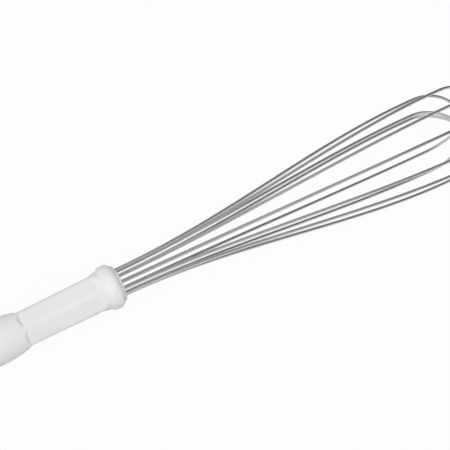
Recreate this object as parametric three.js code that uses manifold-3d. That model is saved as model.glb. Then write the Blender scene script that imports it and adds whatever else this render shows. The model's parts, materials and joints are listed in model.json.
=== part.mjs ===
import * as THREE from "three";
import { mergeVertices } from "three/addons/utils/BufferGeometryUtils.js";
import Module from "manifold-3d";

// Balloon whisk, sizes in millimetres.
// It is drawn along X: the front face of the wire guide is x = 0, the wire tips are toward +X.
// Angles about X are counted from straight up (+Z) toward -Y.

// Collar round the front of the handle
const COLLAR_FRONT_X = -2;
const COLLAR_LENGTH = 8.4;
const COLLAR_RADIUS = 14.8;
const COLLAR_REAR_ROUND = 3.8;
const COLLAR_FRONT_ROUND = 3;
const COLLAR_FRONT_DROP = 2;
const COLLAR_SINK = 0.65;

// Round cuff behind the collar
const CUFF_LENGTH = 2.4;

// Grip with six flats, a little narrower toward the bulb, and the rounded ridges between them;
// at the cuff each flat rises on a ramp until it runs out
const GRIP_LENGTH = 54.8;
const FLAT_COUNT = 6;
const ACROSS_FLATS_FRONT = 23.7;
const ACROSS_FLATS_TAIL = 22.3;
const RIDGE_HEIGHT_FRONT = 1.1;
const RIDGE_HEIGHT_TAIL = 1.25;
const FLAT_HALF_WIDTH = 6;
const FLAT_END_ARC = 9;
const FLAT_RAMP_LENGTH = 2.7;

// Bulb at the tail
const BULB_SWELL_LENGTH = 17.5;
const BULB_TAIL_LENGTH = 23.9;
const BULB_DIAMETER = 28.7;

// Wires
const LOOP_COUNT = 6;
const WIRE_DIAMETER = 2.2;
const WIRE_RING_RADIUS = 8.5;
const CAGE_RADIUS = 35.5;
const BELLY_X = 256;
const SHORTEST_TIP_REACH = 18;
const TIP_GAP = 0.8;
const TIP_POWER = 2.3;

// Pieces held inside the handle
const FIT_GAP = 0.3;
const WIRE_HOLE_GAP = 0.2;
const BORE_MARGIN = 0.5;
const GUIDE_DIAMETER = 24.2;
const GUIDE_LENGTH = 7;
const GUIDE_CHAMFER = 0.7;
const RESIN_LENGTH = 24;
const KEY_SETBACK = 1.9;
const KEY_LENGTH = 3.6;
const KEY_DEPTH = 1.5;
const ANCHOR_LENGTH = 4;
const WIRE_END_RECESS = 0.8;

// How far a cut reaches past the surface that it starts from
const CUT_OVERRUN = 1;

// The cage leans a little to one side of the handle's axis
const LEAN_SLOPE = 0.02;
const LEAN_ANGLE = 135;

// Each loop's place in the stack of tips, and how many degrees its two legs
// have turned from their even places where the cage is widest
const LOOPS = [
  { stack: 3, turn: 7, turnOpposite: 21 },
  { stack: 4, turn: 4, turnOpposite: 16 },
  { stack: 1, turn: 1, turnOpposite: -4 },
  { stack: 0, turn: 2, turnOpposite: 0.6 },
  { stack: 2, turn: -5, turnOpposite: -25 },
  { stack: 5, turn: 18, turnOpposite: -31 },
];
const FIRST_HOLE_ANGLE = -28.5;

// The cage lies on the opposite legs of these two loops
const RESTING_LOOPS = [0, 1];

// Fineness
const ROUND_SEGMENTS = 36;
const WIRE_SIDES = 8;
const ROOT_STEPS = 1;
const LEG_STEPS = 13;
const TIP_STEPS = 9;
const ARC_STEPS = 8;

// Outside of the handle, worked out from the front to the tail
const collarRearX = COLLAR_FRONT_X - COLLAR_LENGTH;
const collarMiddleX = COLLAR_FRONT_X - COLLAR_LENGTH / 2;
const cuffX = collarRearX - CUFF_LENGTH;
const flatFrontX = cuffX - FLAT_RAMP_LENGTH;
const neckX = cuffX - GRIP_LENGTH;
const bulbX = neckX - BULB_SWELL_LENGTH;
const tailX = bulbX - BULB_TAIL_LENGTH;
const bulbRadius = BULB_DIAMETER / 2;
const frontDepth = ACROSS_FLATS_FRONT / 2;
const tailDepth = ACROSS_FLATS_TAIL / 2;
const gripFrontRadius = frontDepth + RIDGE_HEIGHT_FRONT;
const neckRadius = tailDepth + RIDGE_HEIGHT_TAIL;
const flatCutTop = Math.max(gripFrontRadius, neckRadius) + CUT_OVERRUN;

// Inside of the handle
const guideRadius = GUIDE_DIAMETER / 2;
const boreRadius = WIRE_RING_RADIUS + WIRE_DIAMETER / 2 + BORE_MARGIN;
const keyRadius = boreRadius + KEY_DEPTH;
const guideRearX = -GUIDE_LENGTH;
const resinFrontX = guideRearX - FIT_GAP;
const resinRearX = resinFrontX - RESIN_LENGTH;
const keyFrontX = resinFrontX - KEY_SETBACK;
const keyRearX = keyFrontX - KEY_LENGTH;
const anchorFrontX = resinRearX - FIT_GAP;
const anchorRearX = anchorFrontX - ANCHOR_LENGTH;
const boreFloorX = anchorRearX - FIT_GAP;
const wireEndX = anchorRearX + WIRE_END_RECESS;

const wasm = await Module();
wasm.setup();

function toSolid(geometry) {
  const bare = geometry.clone();
  bare.deleteAttribute("normal");
  bare.deleteAttribute("uv");
  const merged = mergeVertices(bare);
  const index = merged.index.array;
  const triangles = [];
  for (let i = 0; i < index.length; i += 3) {
    const [a, b, c] = [index[i], index[i + 1], index[i + 2]];
    if (a !== b && b !== c && c !== a) triangles.push(a, b, c);
  }
  const mesh = new wasm.Mesh({
    numProp: 3,
    vertProperties: new Float32Array(merged.attributes.position.array),
    triVerts: new Uint32Array(triangles),
  });
  return new wasm.Manifold(mesh);
}

function toGeometry(solid) {
  const mesh = solid.getMesh();
  const geometry = new THREE.BufferGeometry();
  geometry.setAttribute("position", new THREE.BufferAttribute(new Float32Array(mesh.vertProperties), 3));
  geometry.setIndex(new THREE.BufferAttribute(new Uint32Array(mesh.triVerts), 1));
  geometry.computeVertexNormals();
  return geometry;
}

// Solid turned about X from a list of [x, radius] points that starts and ends on the axis
function turned(outline) {
  const profile = outline.map(([x, radius]) => new THREE.Vector2(radius, x));
  const geometry = new THREE.LatheGeometry(profile, ROUND_SEGMENTS);
  geometry.rotateZ(-Math.PI / 2);
  return toSolid(geometry);
}

// Points of a quarter ellipse from [x0, r0] to [x1, r1]; it starts along X where alongFirst is true
function quarterEllipse(x0, r0, x1, r1, alongFirst) {
  const points = [];
  for (let i = 0; i <= ARC_STEPS; i += 1) {
    const angle = (Math.PI / 2) * (i / ARC_STEPS);
    const rise = alongFirst ? 1 - Math.cos(angle) : Math.sin(angle);
    const run = alongFirst ? Math.sin(angle) : 1 - Math.cos(angle);
    points.push([x0 + (x1 - x0) * run, r0 + (r1 - r0) * rise]);
  }
  return points;
}

function smooth(t) {
  return t * t * (3 - 2 * t);
}

// Direction across the axis at an angle in degrees
function across(degrees) {
  const angle = THREE.MathUtils.degToRad(degrees);
  return new THREE.Vector3(0, -Math.sin(angle), Math.cos(angle));
}

function gripBlank() {
  const outline = quarterEllipse(tailX, 0, bulbX, bulbRadius, false);
  for (let i = 1; i <= ARC_STEPS; i += 1) {
    const t = i / ARC_STEPS;
    const swell = (bulbRadius - neckRadius) * Math.cos((Math.PI / 2) * t);
    outline.push([bulbX + BULB_SWELL_LENGTH * t, neckRadius + swell]);
  }
  outline.push([cuffX, gripFrontRadius], [collarMiddleX, gripFrontRadius], [collarMiddleX, 0]);
  return turned(outline);
}

// Outline of a flat seen from above, with a bowed end toward the bulb
function flatOutline() {
  const bow = FLAT_END_ARC - Math.sqrt(FLAT_END_ARC ** 2 - FLAT_HALF_WIDTH ** 2);
  const halfSweep = Math.asin(FLAT_HALF_WIDTH / FLAT_END_ARC);
  const shape = new THREE.Shape();
  shape.moveTo(cuffX, FLAT_HALF_WIDTH);
  shape.lineTo(neckX + bow, FLAT_HALF_WIDTH);
  shape.absarc(neckX + FLAT_END_ARC, 0, FLAT_END_ARC, Math.PI - halfSweep, Math.PI + halfSweep, false);
  shape.lineTo(cuffX, -FLAT_HALF_WIDTH);
  return shape;
}

// Outline of a flat seen from the side, with its taper and the ramp up to the cuff
function flatSide() {
  const shape = new THREE.Shape();
  shape.moveTo(neckX, tailDepth);
  shape.lineTo(flatFrontX, frontDepth);
  shape.lineTo(cuffX, gripFrontRadius);
  shape.lineTo(cuffX, flatCutTop);
  shape.lineTo(neckX, flatCutTop);
  return shape;
}

// Cutter for one flat: what both of its outlines have in common
function flatCutter(angle) {
  const settings = { bevelEnabled: false, curveSegments: ARC_STEPS };
  const plan = new THREE.ExtrudeGeometry(flatOutline(), { depth: flatCutTop, ...settings });
  const side = new THREE.ExtrudeGeometry(flatSide(), { depth: 2 * flatCutTop, ...settings });
  side.translate(0, 0, -flatCutTop);
  side.rotateX(Math.PI / 2);
  const turn = THREE.MathUtils.degToRad(angle);
  return toSolid(plan.rotateX(turn)).intersect(toSolid(side.rotateX(turn)));
}

function collar() {
  const rootRadius = gripFrontRadius - COLLAR_SINK;
  const frontRadius = COLLAR_RADIUS - COLLAR_FRONT_DROP;
  return turned([
    [collarRearX, 0],
    ...quarterEllipse(collarRearX, rootRadius, collarRearX + COLLAR_REAR_ROUND, COLLAR_RADIUS, false),
    ...quarterEllipse(COLLAR_FRONT_X - COLLAR_FRONT_ROUND, COLLAR_RADIUS, COLLAR_FRONT_X, frontRadius, true),
    [COLLAR_FRONT_X, 0],
  ]);
}

function bore() {
  const socketRadius = guideRadius + FIT_GAP;
  const socketFloorX = guideRearX - FIT_GAP / 2;
  return turned([
    [boreFloorX, 0],
    [boreFloorX, boreRadius],
    [keyRearX, boreRadius],
    [keyRearX, keyRadius],
    [keyFrontX, keyRadius],
    [keyFrontX, boreRadius],
    [socketFloorX, boreRadius],
    [socketFloorX, socketRadius],
    [CUT_OVERRUN, socketRadius],
    [CUT_OVERRUN, 0],
  ]);
}

function handleSolid() {
  let solid = gripBlank();
  for (let i = 0; i < FLAT_COUNT; i += 1) {
    solid = solid.subtract(flatCutter((360 / FLAT_COUNT) * i));
  }
  return solid.add(collar()).subtract(bore());
}

function wireSection(radius) {
  const shape = new THREE.Shape();
  for (let i = 0; i < WIRE_SIDES; i += 1) {
    const angle = (2 * Math.PI * i) / WIRE_SIDES;
    const point = new THREE.Vector2(radius * Math.cos(angle), radius * Math.sin(angle));
    if (i === 0) shape.moveTo(point.x, point.y);
    else shape.lineTo(point.x, point.y);
  }
  shape.closePath();
  return shape;
}

// Corner radius that gives the polygon the area of a round section
function cornerRadius(radius) {
  const sector = (2 * Math.PI) / WIRE_SIDES;
  return radius * Math.sqrt(sector / Math.sin(sector));
}

function holeAngle(loop) {
  return FIRST_HOLE_ANGLE + (180 / LOOP_COUNT) * loop;
}

// Middle line of one wire loop, from one hidden end over the tip to the other
class LoopLine extends THREE.Curve {
  constructor(loop) {
    super();
    const { stack, turn, turnOpposite } = LOOPS[loop];
    const angle = holeAngle(loop);
    this.tipX = BELLY_X + SHORTEST_TIP_REACH + (WIRE_DIAMETER + TIP_GAP) * stack;
    this.exits = [angle, angle + 180].map((a) => across(a).multiplyScalar(WIRE_RING_RADIUS));
    const bellyAngles = [angle + turn, angle + 180 + turnOpposite];
    this.bellies = bellyAngles.map((a) => across(a).multiplyScalar(CAGE_RADIUS));
    this.middle = this.bellies[0].clone().add(this.bellies[1]).multiplyScalar(0.5);
    this.halfSteps = ROOT_STEPS + LEG_STEPS + TIP_STEPS;
  }

  // One leg at a number of steps from its hidden end
  legPoint(leg, steps) {
    const point = this.exits[leg].clone();
    let x;
    if (steps <= ROOT_STEPS) {
      x = wireEndX * (1 - steps / ROOT_STEPS);
    } else if (steps <= ROOT_STEPS + LEG_STEPS) {
      const t = (steps - ROOT_STEPS) / LEG_STEPS;
      point.lerp(this.bellies[leg], smooth(t));
      x = BELLY_X * t;
    } else {
      const angle = ((steps - ROOT_STEPS - LEG_STEPS) / TIP_STEPS) * (Math.PI / 2);
      const reach = Math.max(Math.cos(angle), 0) ** (2 / TIP_POWER);
      point.copy(this.middle).lerp(this.bellies[leg], reach);
      x = BELLY_X + (this.tipX - BELLY_X) * Math.sin(angle) ** (2 / TIP_POWER);
    }
    point.addScaledVector(across(LEAN_ANGLE), LEAN_SLOPE * Math.max(x, 0));
    point.x = x;
    return point;
  }

  getPoint(t, target = new THREE.Vector3()) {
    const steps = THREE.MathUtils.clamp(t, 0, 1) * 2 * this.halfSteps;
    const fromEnd = Math.min(steps, 2 * this.halfSteps - steps);
    return target.copy(this.legPoint(steps <= this.halfSteps ? 0 : 1, fromEnd));
  }

  // Steps stay where the sections put them, close together at the tip
  getUtoTmapping(u) {
    return u;
  }
}

function wireGeometry(line) {
  const steps = 2 * line.halfSteps;
  const settings = { steps, extrudePath: line, bevelEnabled: false };
  return new THREE.ExtrudeGeometry(wireSection(cornerRadius(WIRE_DIAMETER / 2)), settings);
}

// Drills the holes for all wire legs through a turned piece
function drilled(solid, rearX, frontX) {
  const length = frontX - rearX + 2 * CUT_OVERRUN;
  const radius = cornerRadius(WIRE_DIAMETER / 2) + WIRE_HOLE_GAP;
  let result = solid;
  for (let i = 0; i < 2 * LOOP_COUNT; i += 1) {
    const place = across(holeAngle(i)).multiplyScalar(WIRE_RING_RADIUS);
    const drill = new THREE.CylinderGeometry(cornerRadius(radius), cornerRadius(radius), length, WIRE_SIDES);
    drill.rotateZ(-Math.PI / 2);
    drill.translate((rearX + frontX) / 2, place.y, place.z);
    result = result.subtract(toSolid(drill));
  }
  return result;
}

function guideSolid() {
  const outline = [
    [guideRearX, 0],
    [guideRearX, guideRadius],
    [-GUIDE_CHAMFER, guideRadius],
    [0, guideRadius - GUIDE_CHAMFER],
    [0, 0],
  ];
  return drilled(turned(outline), guideRearX, 0);
}

function resinSolid() {
  const radius = boreRadius - FIT_GAP;
  const outline = [
    [resinRearX, 0],
    [resinRearX, radius],
    [keyRearX + FIT_GAP, radius],
    [keyRearX + FIT_GAP, keyRadius - FIT_GAP],
    [keyFrontX - FIT_GAP, keyRadius - FIT_GAP],
    [keyFrontX - FIT_GAP, radius],
    [resinFrontX, radius],
    [resinFrontX, 0],
  ];
  return drilled(turned(outline), resinRearX, resinFrontX);
}

function anchorSolid() {
  const radius = boreRadius - FIT_GAP;
  const outline = [
    [anchorRearX, 0],
    [anchorRearX, radius],
    [anchorFrontX, radius],
    [anchorFrontX, 0],
  ];
  return drilled(turned(outline), anchorRearX, anchorFrontX);
}

const whitePlastic = { color: 0xf2f2ef, roughness: 0.42, metalness: 0 };
const greyPlastic = { color: 0xd6d6d3, roughness: 0.5, metalness: 0 };
const castResin = { color: 0xcfc7ae, roughness: 0.35, metalness: 0 };
const steelWire = { color: 0xb8babc, roughness: 0.24, metalness: 1 };

const whisk = new THREE.Group();
whisk.name = "whisk";
const lying = new THREE.Group();
whisk.add(lying);

function addPiece(name, geometry, look) {
  const mesh = new THREE.Mesh(geometry, new THREE.MeshStandardMaterial(look));
  mesh.name = name;
  lying.add(mesh);
}

addPiece("handle", toGeometry(handleSolid()), whitePlastic);
addPiece("wire_guide", toGeometry(guideSolid()), greyPlastic);
addPiece("resin_plug", toGeometry(resinSolid()), castResin);
addPiece("anchor_disc", toGeometry(anchorSolid()), greyPlastic);

const lines = LOOPS.map((_, loop) => new LoopLine(loop));
lines.forEach((line, loop) => addPiece(`wire_loop_${loop + 1}`, wireGeometry(line), steelWire));

// Roll the whisk about its axis until both resting legs are equally low
const [firstRest, secondRest] = RESTING_LOOPS.map((loop) => lines[loop].bellies[1]);
const roll = Math.atan2(firstRest.z - secondRest.z, secondRest.y - firstRest.y);

// Then lay it down so that the bulb and the lowest of the resting legs touch z = 0
function layAngle(point) {
  const height = point.y * Math.sin(roll) + point.z * Math.cos(roll);
  return Math.atan((WIRE_DIAMETER / 2 - height - bulbRadius) / (point.x - bulbX));
}

let lay = 0;
RESTING_LOOPS.forEach((loop) => {
  for (let steps = ROOT_STEPS + 1; steps <= lines[loop].halfSteps; steps += 1) {
    lay = Math.max(lay, layAngle(lines[loop].legPoint(1, steps)));
  }
});
lying.rotation.set(roll, -lay, 0, "YXZ");
whisk.updateMatrixWorld(true);
const bounds = new THREE.Box3().setFromObject(whisk, true);
const centre = bounds.getCenter(new THREE.Vector3());
lying.position.set(-centre.x, -centre.y, -bounds.min.z);
whisk.updateMatrixWorld(true);

export default whisk;
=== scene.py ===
"""Looks of a balloon whisk: a white moulded handle and six loops of drawn stainless wire."""

import json
import math

import bmesh
import bpy
from mathutils import Matrix, Vector


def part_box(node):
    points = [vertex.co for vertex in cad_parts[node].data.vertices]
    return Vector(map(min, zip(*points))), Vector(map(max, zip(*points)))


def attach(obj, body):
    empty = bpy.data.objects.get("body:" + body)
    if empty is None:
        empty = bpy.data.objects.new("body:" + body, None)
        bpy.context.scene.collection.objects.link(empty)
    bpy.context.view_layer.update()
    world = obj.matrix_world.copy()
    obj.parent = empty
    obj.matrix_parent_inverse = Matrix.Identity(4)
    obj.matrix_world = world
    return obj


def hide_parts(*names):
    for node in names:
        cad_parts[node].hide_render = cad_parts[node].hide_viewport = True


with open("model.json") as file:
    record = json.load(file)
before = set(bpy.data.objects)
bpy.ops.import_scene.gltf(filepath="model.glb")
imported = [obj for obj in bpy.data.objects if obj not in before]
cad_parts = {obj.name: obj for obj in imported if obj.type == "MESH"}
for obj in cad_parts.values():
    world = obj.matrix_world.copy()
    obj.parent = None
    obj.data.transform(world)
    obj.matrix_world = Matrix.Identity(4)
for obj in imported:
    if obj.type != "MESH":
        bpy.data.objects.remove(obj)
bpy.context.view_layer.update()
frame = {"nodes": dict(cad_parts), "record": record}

# Sizes are in millimetres, and MM turns them into metres where an object is made.
# The whisk is drawn along X: the front face of the wire guide is x = 0, the tips are toward +X.
# Angles about X are in degrees, counted from straight up (+Z) toward -Y.
MM = 0.001

# Collar round the front of the handle
COLLAR_FRONT_X = -2
COLLAR_LENGTH = 8.4
COLLAR_RADIUS = 14.8
COLLAR_REAR_ROUND = 3.8
COLLAR_FRONT_ROUND = 3
COLLAR_FRONT_DROP = 2
COLLAR_FRONT_POWER = 1.5
COLLAR_CREASE_ROUND = 0.35

# Round cuff behind the collar
CUFF_LENGTH = 2.4

# Grip with six flats and rounded ridges between them
GRIP_LENGTH = 54.8
FLAT_COUNT = 6
ACROSS_FLATS_FRONT = 23.7
ACROSS_FLATS_TAIL = 22.3
RIDGE_HEIGHT_FRONT = 1.1
RIDGE_HEIGHT_TAIL = 1.25
RIDGE_BLEND_FRONT = 0.7
RIDGE_BLEND_TAIL = 1.3
FLAT_END_ARC = 9
FLAT_END_WALL = 2.2
FLAT_RAMP_LENGTH = 2.7
FLAT_RAMP_RISE = 1.5
FLAT_RAMP_BLEND = 0.3

# Bulb at the tail
BULB_SWELL_LENGTH = 17.5
BULB_TAIL_LENGTH = 23.9
BULB_DIAMETER = 28.7
NECK_BLEND = 0.4

# Wires
LOOP_COUNT = 6
WIRE_DIAMETER = 2.2
WIRE_RING_RADIUS = 8.5
CAGE_RADIUS = 35.5
BELLY_X = 256
SHORTEST_TIP_REACH = 18
TIP_GAP = 0.8
TIP_POWER = 2.3
LEAN_SLOPE = 0.02
LEAN_ANGLE = 135
FIRST_HOLE_ANGLE = -28.5

# Each loop's place in the stack of tips, and the turn of its two legs where the cage is widest
LOOPS = (
    (3, 7, 21),
    (4, 4, 16),
    (1, 1, -4),
    (0, 2, 0.6),
    (2, -5, -25),
    (5, 18, -31),
)

# Pieces held in the handle
FIT_GAP = 0.3
WIRE_HOLE_GAP = 0.2
BORE_MARGIN = 0.5
GUIDE_DIAMETER = 24.2
GUIDE_LENGTH = 7
GUIDE_EDGE_ROUND = 0.7
HOLE_EDGE_ROUND = 0.25
RESIN_LENGTH = 24
KEY_SETBACK = 1.9
KEY_LENGTH = 3.6
KEY_DEPTH = 1.5
ANCHOR_LENGTH = 4
WIRE_END_RECESS = 0.8

# Fineness of the meshes
ROUND_SEGMENTS = 240
FINE_STEP = 0.22
PLAIN_STEP = 1.4
ARC_STEPS = 20
WIRE_SIDES = 20
WIRE_STEP = 1.6
LINE_SAMPLES = 300
SHORTEST_STEP = 1e-9
SHARP_ANGLE = 40

# Places worked out from the sizes
collar_rear_x = COLLAR_FRONT_X - COLLAR_LENGTH
cuff_x = collar_rear_x - CUFF_LENGTH
flat_front_x = cuff_x - FLAT_RAMP_LENGTH
neck_x = cuff_x - GRIP_LENGTH
bulb_x = neck_x - BULB_SWELL_LENGTH
tail_x = bulb_x - BULB_TAIL_LENGTH
bulb_radius = BULB_DIAMETER / 2
front_depth = ACROSS_FLATS_FRONT / 2
tail_depth = ACROSS_FLATS_TAIL / 2
cuff_radius = front_depth + RIDGE_HEIGHT_FRONT
neck_radius = tail_depth + RIDGE_HEIGHT_TAIL
wire_radius = WIRE_DIAMETER / 2
guide_radius = GUIDE_DIAMETER / 2
bore_radius = WIRE_RING_RADIUS + wire_radius + BORE_MARGIN
key_radius = bore_radius + KEY_DEPTH
resin_front_x = -GUIDE_LENGTH - FIT_GAP
key_front_x = resin_front_x - KEY_SETBACK
key_rear_x = key_front_x - KEY_LENGTH
anchor_front_x = resin_front_x - RESIN_LENGTH - FIT_GAP
anchor_rear_x = anchor_front_x - ANCHOR_LENGTH
bore_floor_x = anchor_rear_x - FIT_GAP
wire_end_x = anchor_rear_x + WIRE_END_RECESS


def smooth(t):
    t = min(max(t, 0.0), 1.0)
    return t * t * (3 - 2 * t)


def smooth_min(a, b, blend):
    """The smaller of two lengths, rounded where they come within blend of each other."""
    near = max(blend - abs(a - b), 0.0) / blend
    return min(a, b) - near * near * blend / 4


def across(degrees):
    """Direction across the axis at an angle."""
    angle = math.radians(degrees)
    return Vector((0, -math.sin(angle), math.cos(angle)))


def steps_between(start, end, step):
    """Evenly spaced values from start up to and without end."""
    count = max(1, round(abs(end - start) / step))
    return [start + (end - start) * i / count for i in range(count)]


def lying_angles():
    """Roll of the whisk about its axis and tilt of the axis on the table, from two opposite flats."""
    axes = {mount["name"]: Vector(mount["axis"]) for mount in frame["record"]["mounts"]}
    up = (axes["grip_upper_flat"] - axes["grip_lower_flat"]).normalized()
    return -math.asin(up.y), math.atan2(-up.x, up.z)


lying_roll, lying_tilt = lying_angles()


def lying_matrix():
    """From the whisk as drawn, in metres, to where it lies: the anchor disc gives the place."""
    low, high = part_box("anchor_disc")
    drawn_middle = Vector(((anchor_front_x + anchor_rear_x) / 2 * MM, 0, 0))
    turn = Matrix.Rotation(-lying_tilt, 4, "Y") @ Matrix.Rotation(lying_roll, 4, "X")
    return Matrix.Translation((low + high) / 2) @ turn @ Matrix.Translation(-drawn_middle)


lying = lying_matrix()


def place(point):
    """A drawn point in millimetres, where it lies in metres."""
    return lying @ (Vector(point) * MM)


def make_piece(name, mesh_data, material, node):
    """Adds a mesh as a piece that stands for a CAD node."""
    mesh = bpy.data.meshes.new(name)
    mesh_data.to_mesh(mesh)
    mesh_data.free()
    mesh.shade_smooth()
    mesh.set_sharp_from_angle(angle=math.radians(SHARP_ANGLE))
    mesh.materials.append(material)
    piece = bpy.data.objects.new(name, mesh)
    bpy.context.scene.collection.objects.link(piece)
    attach(piece, "root")
    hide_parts(node)


# Camera, fitted to the lines of the wires in the photograph
IMAGE_SIZE = 450
SENSOR_WIDTH = 36
CAMERA_POINT_X = 82
CAMERA_POINT_PIXEL = (229.0, 229.2)
CAMERA_DISTANCE = 708
MM_PER_PIXEL = 0.6585
CAMERA_SIDE_ANGLE = 29.63
CAMERA_TAIL_ANGLE = 18.11
CAMERA_TURN = 26.0
CLIP_START = 0.01


def make_camera():
    """Looks at the middle of the whisk from its side and a little from its tail."""
    along = Vector((1, 0, 0))
    side = across(CAMERA_SIDE_ANGLE)
    below = across(CAMERA_SIDE_ANGLE + 90)
    tail_angle = math.radians(CAMERA_TAIL_ANGLE)
    turn = math.radians(CAMERA_TURN)
    ahead = math.cos(tail_angle) * along + math.sin(tail_angle) * side
    back = math.cos(tail_angle) * side - math.sin(tail_angle) * along
    right = math.cos(turn) * ahead + math.sin(turn) * below
    up = math.sin(turn) * ahead - math.cos(turn) * below
    point = Vector((CAMERA_POINT_X, 0, 0))
    offset_right = (CAMERA_POINT_PIXEL[0] - IMAGE_SIZE / 2) * MM_PER_PIXEL
    offset_down = (CAMERA_POINT_PIXEL[1] - IMAGE_SIZE / 2) * MM_PER_PIXEL
    position = point + back * CAMERA_DISTANCE
    aim = point - right * offset_right + up * offset_down
    back = (position - aim).normalized()
    right = up.cross(back).normalized()
    up = back.cross(right)
    drawn = Matrix((right, up, back)).transposed().to_4x4()
    drawn.translation = position * MM
    data = bpy.data.cameras.new("camera")
    data.sensor_width = SENSOR_WIDTH
    data.lens = SENSOR_WIDTH * CAMERA_DISTANCE / (IMAGE_SIZE * MM_PER_PIXEL)
    data.clip_start = CLIP_START
    camera = bpy.data.objects.new("camera", data)
    camera.matrix_world = lying @ drawn
    bpy.context.scene.collection.objects.link(camera)
    bpy.context.scene.camera = camera


# Materials
def new_material(name, colour, roughness, metallic=0.0):
    """Principled material with its node tree, ready for detail."""
    material = bpy.data.materials.new(name)
    material.use_nodes = True
    tree = material.node_tree
    shader = tree.nodes["Principled BSDF"]
    shader.inputs["Base Color"].default_value = (*colour, 1)
    shader.inputs["Roughness"].default_value = roughness
    shader.inputs["Metallic"].default_value = metallic
    return material, tree, shader


def add_coordinates(tree, output, scale):
    """Texture coordinates turned to the whisk's axis and scaled along and across it."""
    source = tree.nodes.new("ShaderNodeTexCoord")
    mapping = tree.nodes.new("ShaderNodeMapping")
    if output == "Object":
        mapping.inputs["Rotation"].default_value = (0, lying_tilt, 0)
    mapping.inputs["Scale"].default_value = scale
    tree.links.new(source.outputs[output], mapping.inputs["Vector"])
    return mapping.outputs["Vector"]


def add_noise(tree, vector, scale, detail=3.0):
    noise = tree.nodes.new("ShaderNodeTexNoise")
    noise.inputs["Scale"].default_value = scale
    noise.inputs["Detail"].default_value = detail
    tree.links.new(vector, noise.inputs["Vector"])
    return noise.outputs["Fac"]


def add_range(tree, value, low, high, from_low=0.3, from_high=0.7):
    """Maps a noise onto a range of values."""
    node = tree.nodes.new("ShaderNodeMapRange")
    node.inputs["From Min"].default_value = from_low
    node.inputs["From Max"].default_value = from_high
    node.inputs["To Min"].default_value = low
    node.inputs["To Max"].default_value = high
    tree.links.new(value, node.inputs["Value"])
    return node.outputs["Result"]


def add_colour_mix(tree, factor, first, second):
    node = tree.nodes.new("ShaderNodeMix")
    node.data_type = "RGBA"
    node.inputs["A"].default_value = (*first, 1)
    node.inputs["B"].default_value = (*second, 1)
    tree.links.new(factor, node.inputs["Factor"])
    return node.outputs["Result"]


def add_bump(tree, height, distance, strength, normal=None):
    node = tree.nodes.new("ShaderNodeBump")
    node.inputs["Distance"].default_value = distance
    node.inputs["Strength"].default_value = strength
    tree.links.new(height, node.inputs["Height"])
    if normal is not None:
        tree.links.new(normal, node.inputs["Normal"])
    return node.outputs["Normal"]


def white_plastic():
    """Satin white moulding: faint clouding, fine grain and slightly uneven gloss."""
    material, tree, shader = new_material("white_plastic", (0.87, 0.87, 0.86), 0.42)
    even = add_coordinates(tree, "Object", scale=(1, 1, 1))
    along = add_coordinates(tree, "Object", scale=(0.15, 1, 1))
    cloud = add_range(tree, add_noise(tree, even, scale=45), low=0, high=1)
    colour = add_colour_mix(tree, cloud, (0.855, 0.855, 0.845), (0.885, 0.885, 0.877))
    tree.links.new(colour, shader.inputs["Base Color"])
    scuffs = add_range(tree, add_noise(tree, along, scale=420, detail=5), low=0.46, high=0.6)
    tree.links.new(scuffs, shader.inputs["Roughness"])
    grain = add_bump(tree, add_noise(tree, even, scale=2600, detail=2), distance=0.00004, strength=0.25)
    unevenness = add_noise(tree, even, scale=160, detail=2)
    waves = add_bump(tree, unevenness, distance=0.00012, strength=0.3, normal=grain)
    tree.links.new(waves, shader.inputs["Normal"])
    return material


def grey_plastic():
    """Matt grey-white moulding of the guide and the disc inside."""
    material, tree, shader = new_material("grey_plastic", (0.72, 0.72, 0.71), 0.5)
    even = add_coordinates(tree, "Object", scale=(1, 1, 1))
    cloud = add_range(tree, add_noise(tree, even, scale=160), low=0, high=1)
    colour = add_colour_mix(tree, cloud, (0.69, 0.69, 0.68), (0.75, 0.75, 0.74))
    tree.links.new(colour, shader.inputs["Base Color"])
    rough = add_range(tree, add_noise(tree, even, scale=700), low=0.44, high=0.58)
    tree.links.new(rough, shader.inputs["Roughness"])
    grain = add_bump(tree, add_noise(tree, even, scale=2400, detail=2), distance=0.00004, strength=0.3)
    tree.links.new(grain, shader.inputs["Normal"])
    return material


def cast_resin():
    """Amber cast resin with faint swirls."""
    material, tree, shader = new_material("cast_resin", (0.62, 0.56, 0.42), 0.28)
    even = add_coordinates(tree, "Object", scale=(1, 1, 1))
    swirl = add_range(tree, add_noise(tree, even, scale=220, detail=6), low=0, high=1)
    colour = add_colour_mix(tree, swirl, (0.56, 0.49, 0.34), (0.68, 0.62, 0.48))
    tree.links.new(colour, shader.inputs["Base Color"])
    ripple = add_bump(tree, add_noise(tree, even, scale=500, detail=2), distance=0.00008, strength=0.3)
    tree.links.new(ripple, shader.inputs["Normal"])
    return material


def drawn_steel():
    """Bright drawn wire: fine lines along its length, and slightly uneven gloss and tone."""
    material, tree, shader = new_material("drawn_steel", (0.58, 0.585, 0.59), 0.2, 1.0)
    lines = add_coordinates(tree, "UV", scale=(9, 16, 1))
    patches = add_coordinates(tree, "UV", scale=(60, 3, 1))
    tone = add_range(tree, add_noise(tree, patches, scale=1, detail=4), low=0, high=1)
    colour = add_colour_mix(tree, tone, (0.57, 0.575, 0.58), (0.62, 0.625, 0.63))
    tree.links.new(colour, shader.inputs["Base Color"])
    streaks = add_noise(tree, lines, scale=1, detail=4)
    tree.links.new(add_range(tree, streaks, low=0.2, high=0.27), shader.inputs["Roughness"])
    scratch = add_bump(tree, streaks, distance=0.00001, strength=0.1)
    tree.links.new(scratch, shader.inputs["Normal"])
    return material


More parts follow.
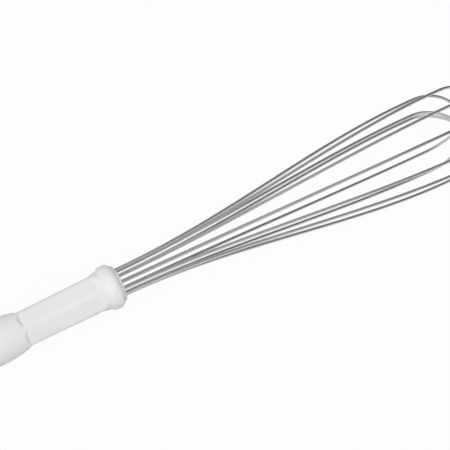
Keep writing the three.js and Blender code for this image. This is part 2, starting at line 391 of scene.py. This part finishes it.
# Handle
def blank_radius(x):
    """Radius of the round moulding before its flats, from the bulb to the collar."""
    share = min((x - neck_x) / (cuff_x - neck_x), 1.0)
    line = neck_radius + (cuff_radius - neck_radius) * share
    swell = math.sin(max((neck_x - x) / BULB_SWELL_LENGTH, -1.0) * math.pi / 2)
    return -smooth_min(-line, -neck_radius - (bulb_radius - neck_radius) * swell, NECK_BLEND)


def flat_depth(x):
    """Distance of a flat from the axis, with its taper and the ramp up to the cuff."""
    share = (x - neck_x) / (flat_front_x - neck_x)
    depth = tail_depth + (front_depth - tail_depth) * min(share, 1.0)
    fall = FLAT_RAMP_RISE * (flat_front_x - x) / FLAT_RAMP_LENGTH
    return depth - smooth_min(fall, 0, FLAT_RAMP_BLEND)


def grip_radius(x, degrees):
    """Radius of the grip with its flats, which end in a bow toward the bulb."""
    sector = 360 / FLAT_COUNT
    from_middle = math.radians((degrees + sector / 2) % sector - sector / 2)
    blank = blank_radius(x)
    depth = flat_depth(x)
    sideways = min(abs(depth * math.tan(from_middle)), FLAT_END_ARC)
    bow = FLAT_END_ARC - math.sqrt(FLAT_END_ARC**2 - sideways**2)
    cut = smooth((x - neck_x - bow) / FLAT_END_WALL + 0.5)
    share = smooth((x - neck_x) / (flat_front_x - neck_x))
    blend = RIDGE_BLEND_TAIL + (RIDGE_BLEND_FRONT - RIDGE_BLEND_TAIL) * share
    flat = smooth_min(blank, depth / math.cos(from_middle), blend)
    return blank + (flat - blank) * cut


def arc_points(x0, r0, x1, r1, along_first, power=2):
    """Points of a quarter ellipse, without its last; it starts along X where along_first is true.

    A power below 2 draws it nearer to a straight slope.
    """
    points = []
    for i in range(ARC_STEPS):
        angle = math.pi / 2 * i / ARC_STEPS
        sine = math.sin(angle) ** (2 / power)
        cosine = math.cos(angle) ** (2 / power)
        rise = 1 - cosine if along_first else sine
        run = sine if along_first else 1 - cosine
        points.append((x0 + (x1 - x0) * run, r0 + (r1 - r0) * rise))
    return points


def tail_outline():
    """The bulb, from its end to the neck."""
    points = arc_points(tail_x, 0, bulb_x, bulb_radius, False)[1:]
    for x in steps_between(bulb_x, neck_x - FLAT_END_WALL, PLAIN_STEP / 2):
        points.append((x, blank_radius(x)))
    return points


def grip_places():
    """Places of the rings along the grip, close together at both ends of the flats."""
    bow_end_x = neck_x + FLAT_END_ARC / 2
    places = steps_between(neck_x - FLAT_END_WALL, bow_end_x, FINE_STEP)
    places += steps_between(bow_end_x, flat_front_x - FINE_STEP, PLAIN_STEP)
    places += steps_between(flat_front_x - FINE_STEP, collar_rear_x - COLLAR_CREASE_ROUND, FINE_STEP)
    return places


def collar_outline():
    """The crease behind the collar, the collar and its front face up to the socket."""
    crease_x = collar_rear_x - COLLAR_CREASE_ROUND
    crease_top = cuff_radius + COLLAR_CREASE_ROUND
    front_radius = COLLAR_RADIUS - COLLAR_FRONT_DROP
    round_x = COLLAR_FRONT_X - COLLAR_FRONT_ROUND
    socket_radius = guide_radius + FIT_GAP
    points = arc_points(crease_x, cuff_radius, collar_rear_x, crease_top, True)
    rear_round_x = collar_rear_x + COLLAR_REAR_ROUND
    points += arc_points(collar_rear_x, crease_top, rear_round_x, COLLAR_RADIUS, False)
    points += [(x, COLLAR_RADIUS) for x in steps_between(rear_round_x, round_x, PLAIN_STEP)]
    points += arc_points(round_x, COLLAR_RADIUS, COLLAR_FRONT_X, front_radius, True, COLLAR_FRONT_POWER)
    mouth_x = COLLAR_FRONT_X - HOLE_EDGE_ROUND
    points += [(COLLAR_FRONT_X, front_radius), (COLLAR_FRONT_X, socket_radius + HOLE_EDGE_ROUND)]
    points += [(mouth_x, socket_radius)]
    return points


def bore_outline():
    """Inside of the handle, from the socket of the guide to the floor of the bore."""
    socket_floor_x = -GUIDE_LENGTH - FIT_GAP / 2
    return [
        (socket_floor_x, guide_radius + FIT_GAP),
        (socket_floor_x, bore_radius),
        (key_front_x, bore_radius),
        (key_front_x, key_radius),
        (key_rear_x, key_radius),
        (key_rear_x, bore_radius),
        (bore_floor_x, bore_radius),
    ]


def turn_angles():
    return [360 * i / ROUND_SEGMENTS for i in range(ROUND_SEGMENTS)]


def add_ring(mesh, x, radii):
    return [mesh.verts.new(place((x, 0, 0)) + lying.to_3x3() @ across(angle) * radius * MM)
            for angle, radius in zip(turn_angles(), radii)]


def join_rings(mesh, first, second):
    """Faces between two rings of points, facing out where the rings run toward +X."""
    for i in range(len(first)):
        j = (i + 1) % len(first)
        mesh.faces.new((first[i], first[j], second[j], second[i]))


def close_ring(mesh, ring, x, forward):
    """Closes a ring to a point on the axis."""
    tip = mesh.verts.new(place((x, 0, 0)))
    for i in range(len(ring)):
        j = (i + 1) % len(ring)
        mesh.faces.new((ring[i], ring[j], tip) if forward else (ring[j], ring[i], tip))


def make_handle(material):
    mesh = bmesh.new()
    plain = [(x, [radius] * ROUND_SEGMENTS) for x, radius in tail_outline()]
    plain += [(x, [grip_radius(x, angle) for angle in turn_angles()]) for x in grip_places()]
    plain += [(x, [radius] * ROUND_SEGMENTS) for x, radius in collar_outline() + bore_outline()]
    rings = [add_ring(mesh, x, radii) for x, radii in plain]
    close_ring(mesh, rings[0], tail_x, False)
    for first, second in zip(rings, rings[1:]):
        join_rings(mesh, first, second)
    close_ring(mesh, rings[-1], bore_floor_x, True)
    bmesh.ops.recalc_face_normals(mesh, faces=mesh.faces)
    make_piece("whisk_handle", mesh, material, "handle")


# Wire guide
def hole_angle(leg):
    return FIRST_HOLE_ANGLE + 180 / LOOP_COUNT * leg


def add_circle(mesh, x, centre, radius, count):
    points = []
    for i in range(count):
        offset = across(360 * i / count) * radius
        points.append(mesh.verts.new(place(Vector((x, 0, 0)) + centre + offset)))
    return points


def fill_between(mesh, rings):
    """Flat face inside the first ring with the other rings as holes."""
    edges = []
    for ring in rings:
        for i in range(len(ring)):
            pair = (ring[i], ring[(i + 1) % len(ring)])
            edges.append(mesh.edges.get(pair) or mesh.edges.new(pair))
    bmesh.ops.triangle_fill(mesh, edges=edges, use_beauty=True, use_dissolve=False)


def guide_outline():
    """Side of the guide with its rounded front edge."""
    points = [(-GUIDE_LENGTH, guide_radius)]
    points += arc_points(-GUIDE_EDGE_ROUND, guide_radius, 0, guide_radius - GUIDE_EDGE_ROUND, True)
    return points + [(0, guide_radius - GUIDE_EDGE_ROUND)]


def make_guide(material):
    """Disc that spaces the wires: rounded front edge, and twelve holes with eased edges."""
    mesh = bmesh.new()
    rear_x = -GUIDE_LENGTH
    sides = [add_circle(mesh, x, Vector(), radius, ROUND_SEGMENTS) for x, radius in guide_outline()]
    for first, second in zip(sides, sides[1:]):
        join_rings(mesh, first, second)
    hole_radius = wire_radius + WIRE_HOLE_GAP
    fronts = []
    rears = []
    for leg in range(2 * LOOP_COUNT):
        centre = across(hole_angle(leg)) * WIRE_RING_RADIUS
        hole = arc_points(0, hole_radius + HOLE_EDGE_ROUND, -HOLE_EDGE_ROUND, hole_radius, False)
        hole += [(-HOLE_EDGE_ROUND, hole_radius), (rear_x, hole_radius)]
        rings = [add_circle(mesh, x, centre, radius, 2 * WIRE_SIDES) for x, radius in hole]
        for first, second in zip(rings, rings[1:]):
            join_rings(mesh, first, second)
        fronts.append(rings[0])
        rears.append(rings[-1])
    fill_between(mesh, [sides[-1]] + fronts)
    fill_between(mesh, [sides[0]] + rears)
    bmesh.ops.recalc_face_normals(mesh, faces=mesh.faces)
    make_piece("whisk_wire_guide", mesh, material, "wire_guide")


# Wire loops
def leg_point(loop, leg, part, t):
    """Point of a leg's middle line; part is root, rise or tip, and t runs from 0 to 1 in it."""
    stack, turn, turn_opposite = LOOPS[loop]
    angles = (hole_angle(loop), hole_angle(loop) + 180)
    turns = (turn, turn_opposite)
    bellies = [across(angles[k] + turns[k]) * CAGE_RADIUS for k in (0, 1)]
    outlet = across(angles[leg]) * WIRE_RING_RADIUS
    if part == "root":
        return outlet + Vector((wire_end_x * (1 - t), 0, 0))
    if part == "rise":
        x = BELLY_X * t
        point = outlet.lerp(bellies[leg], smooth(t))
    else:
        quarter = t * math.pi / 2
        tip_reach = SHORTEST_TIP_REACH + (WIRE_DIAMETER + TIP_GAP) * stack
        x = BELLY_X + tip_reach * math.sin(quarter) ** (2 / TIP_POWER)
        middle = (bellies[0] + bellies[1]) / 2
        point = middle.lerp(bellies[leg], max(math.cos(quarter), 0.0) ** (2 / TIP_POWER))
    return point + across(LEAN_ANGLE) * (LEAN_SLOPE * x) + Vector((x, 0, 0))


def leg_line(loop, leg):
    """A leg's middle line from its hidden end to the tip."""
    points = []
    for part in ("root", "rise", "tip"):
        points += [leg_point(loop, leg, part, i / LINE_SAMPLES) for i in range(LINE_SAMPLES)]
    return points + [leg_point(loop, leg, "tip", 1)]


def evenly_spaced(points, step):
    """Points at even distances along a line."""
    lengths = [0.0]
    for first, second in zip(points, points[1:]):
        lengths.append(lengths[-1] + (second - first).length)
    count = round(lengths[-1] / step)
    spaced = []
    k = 0
    for i in range(count + 1):
        wanted = lengths[-1] * i / count
        while k < len(points) - 2 and lengths[k + 1] < wanted:
            k += 1
        share = (wanted - lengths[k]) / max(lengths[k + 1] - lengths[k], SHORTEST_STEP)
        spaced.append(points[k].lerp(points[k + 1], share))
    return spaced


def wire_mesh(points):
    """Round tube along a line, with its length and its turn as texture coordinates."""
    mesh = bmesh.new()
    layer = mesh.loops.layers.uv.new("UVMap")
    rings = []
    side = Vector((0, 0, 1))
    for i, point in enumerate(points):
        ahead = (points[min(i + 1, len(points) - 1)] - points[max(i - 1, 0)]).normalized()
        side = (side - ahead * side.dot(ahead)).normalized()
        other = ahead.cross(side)
        ring = []
        for k in range(WIRE_SIDES):
            turn = 2 * math.pi * k / WIRE_SIDES
            offset = (side * math.cos(turn) + other * math.sin(turn)) * wire_radius
            ring.append(mesh.verts.new(place(point + offset)))
        rings.append(ring)
    step = (points[1] - points[0]).length * MM
    for i in range(len(rings) - 1):
        for k in range(WIRE_SIDES):
            j = (k + 1) % WIRE_SIDES
            face = mesh.faces.new((rings[i][k], rings[i][j], rings[i + 1][j], rings[i + 1][k]))
            corners = ((i, k), (i, k + 1), (i + 1, k + 1), (i + 1, k))
            for loop, (along, turn) in zip(face.loops, corners):
                loop[layer].uv = (along * step, turn / WIRE_SIDES)
    mesh.faces.new(list(reversed(rings[0])))
    mesh.faces.new(rings[-1])
    bmesh.ops.recalc_face_normals(mesh, faces=mesh.faces)
    return mesh


def make_loop(loop, material):
    line = leg_line(loop, 0) + list(reversed(leg_line(loop, 1)))[1:]
    mesh = wire_mesh(evenly_spaced(line, WIRE_STEP))
    make_piece(f"whisk_wire_{loop + 1}", mesh, material, f"wire_loop_{loop + 1}")


# Studio
FLOOR_RADIUS = 3.0
WALL_RADIUS = 4.0
WALL_HEIGHT = 1.4
FLOOR_GAP = 0.0003
STUDIO_SEGMENTS = 96
FLOOR_GREY = 0.57
BACKGROUND_SHARE = 0.96

# Light from around: how far toward the tips it comes from, and its level there
WORLD_LEVELS = (
    (-0.6, 1.02),
    (0.25, 0.4),
    (0.36, 0.22),
    (0.62, 0.19),
    (0.8, 0.05),
)

KEY_STRENGTH = 1.3
KEY_DIRECTION = (-0.22, -0.41, 0.84)
KEY_ANGLE = 50


def grey(level):
    """Colour of an even grey with full opacity."""
    return (level, level, level, 1)


def studio_white():
    """White where the camera or a reflection sees it, and a pale matt surface for other light."""
    material = bpy.data.materials.new("studio_white")
    material.use_nodes = True
    tree = material.node_tree
    tree.nodes.clear()
    path = tree.nodes.new("ShaderNodeLightPath")
    seen = None
    for ray in ("Is Camera Ray", "Is Glossy Ray", "Is Transmission Ray"):
        if seen is None:
            seen = path.outputs[ray]
            continue
        either = tree.nodes.new("ShaderNodeMath")
        either.operation = "MAXIMUM"
        tree.links.new(seen, either.inputs[0])
        tree.links.new(path.outputs[ray], either.inputs[1])
        seen = either.outputs["Value"]
    share = tree.nodes.new("ShaderNodeMath")
    share.operation = "MULTIPLY"
    share.inputs[1].default_value = BACKGROUND_SHARE
    tree.links.new(seen, share.inputs[0])
    matt = tree.nodes.new("ShaderNodeBsdfDiffuse")
    matt.inputs["Color"].default_value = grey(FLOOR_GREY)
    white = tree.nodes.new("ShaderNodeEmission")
    mix = tree.nodes.new("ShaderNodeMixShader")
    output = tree.nodes.new("ShaderNodeOutputMaterial")
    tree.links.new(share.outputs["Value"], mix.inputs["Fac"])
    tree.links.new(matt.outputs["BSDF"], mix.inputs[1])
    tree.links.new(white.outputs["Emission"], mix.inputs[2])
    tree.links.new(mix.outputs["Shader"], output.inputs["Surface"])
    return material


def make_studio():
    """Round floor that rises into a low wall all the way round."""
    mesh = bmesh.new()
    outline = [(FLOOR_RADIUS, -FLOOR_GAP)]
    for i in range(1, ARC_STEPS + 1):
        angle = math.pi / 2 * i / ARC_STEPS
        radius = FLOOR_RADIUS + (WALL_RADIUS - FLOOR_RADIUS) * math.sin(angle)
        outline.append((radius, -FLOOR_GAP + WALL_HEIGHT * (1 - math.cos(angle))))
    rings = []
    for radius, height in outline:
        ring = []
        for k in range(STUDIO_SEGMENTS):
            turn = 2 * math.pi * k / STUDIO_SEGMENTS
            ring.append(mesh.verts.new((radius * math.cos(turn), radius * math.sin(turn), height)))
        rings.append(ring)
    mesh.faces.new(rings[0])
    for first, second in zip(rings, rings[1:]):
        join_rings(mesh, second, first)
    data = bpy.data.meshes.new("studio")
    mesh.to_mesh(data)
    mesh.free()
    data.shade_smooth()
    data.materials.append(studio_white())
    studio = bpy.data.objects.new("studio", data)
    bpy.context.scene.collection.objects.link(studio)


def make_sun(name, direction, strength, angle):
    data = bpy.data.lights.new(name, "SUN")
    data.energy = strength
    data.angle = math.radians(angle)
    sun = bpy.data.objects.new(name, data)
    sun.rotation_mode = "QUATERNION"
    sun.rotation_quaternion = Vector(direction).to_track_quat("Z", "Y")
    sun.visible_glossy = False
    bpy.context.scene.collection.objects.link(sun)


def make_light():
    """Light from around that fades toward the tips, and a key light that reflections don't show."""
    world = bpy.data.worlds.new("studio_light")
    bpy.context.scene.world = world
    world.use_nodes = True
    background = world.node_tree.nodes["Background"]
    nodes = world.node_tree.nodes
    links = world.node_tree.links
    direction = nodes.new("ShaderNodeTexCoord")
    parts = nodes.new("ShaderNodeSeparateXYZ")
    share = nodes.new("ShaderNodeMapRange")
    share.inputs["From Min"].default_value = -1
    share.inputs["From Max"].default_value = 1
    ramp = nodes.new("ShaderNodeValToRGB")
    stops = ramp.color_ramp.elements
    stops[0].color = grey(WORLD_LEVELS[0][1])
    stops[1].color = grey(WORLD_LEVELS[-1][1])
    for toward_tips, level in WORLD_LEVELS:
        stops.new((toward_tips + 1) / 2).color = grey(level)
    links.new(direction.outputs["Generated"], parts.inputs["Vector"])
    links.new(parts.outputs["X"], share.inputs["Value"])
    links.new(share.outputs["Result"], ramp.inputs["Fac"])
    links.new(ramp.outputs["Color"], background.inputs["Color"])
    make_sun("key", KEY_DIRECTION, KEY_STRENGTH, KEY_ANGLE)


def dress_inside(node, material):
    """Gives a CAD piece inside the handle its finish."""
    frame["nodes"][node].data.materials.clear()
    frame["nodes"][node].data.materials.append(material)


make_camera()
make_studio()
make_light()
guide_finish = grey_plastic()
wire_finish = drawn_steel()
make_handle(white_plastic())
make_guide(guide_finish)
for number in range(LOOP_COUNT):
    make_loop(number, wire_finish)
dress_inside("resin_plug", cast_resin())
dress_inside("anchor_disc", guide_finish)
bpy.context.scene.view_settings.view_transform = "Standard"
